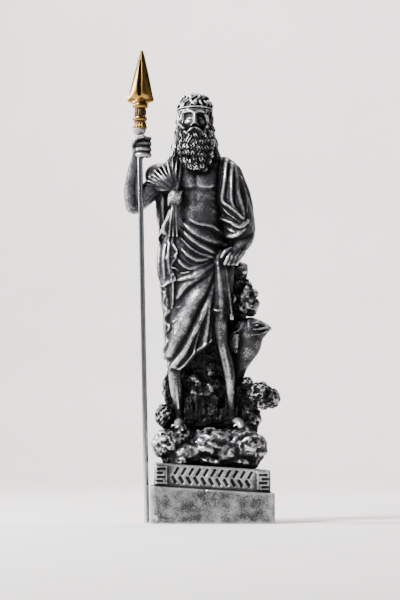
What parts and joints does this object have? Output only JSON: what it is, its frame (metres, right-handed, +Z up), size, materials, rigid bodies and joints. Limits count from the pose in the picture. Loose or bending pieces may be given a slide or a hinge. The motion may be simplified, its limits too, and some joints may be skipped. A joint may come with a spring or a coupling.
{
  "type": "sea god statuette with spear",
  "caption": "Standing bearded sea god in a wrapped robe on reef rock, corals and a dolphin beside him, on a stepped plinth, with a spear held upright in his fist.",
  "frame": {"origin": "middle of the plinth's underside", "axes": "+Z up, the figure faces -Y, and its spear is at -X"},
  "size_m": [0.0783, 0.046, 0.2351],
  "materials": {
    "antique_silver": "black resin casting, dry-brushed with silver paint and left dark in its hollows",
    "bright_steel": "drawn rod, polished",
    "gilt_brass": "cast and gilt, dark brown in its grooves"
  },
  "bodies": {
    "root": {"statue": "antique_silver", "spear_shaft": "bright_steel", "spear_head": "gilt_brass"}
  },
  "joints": []
}
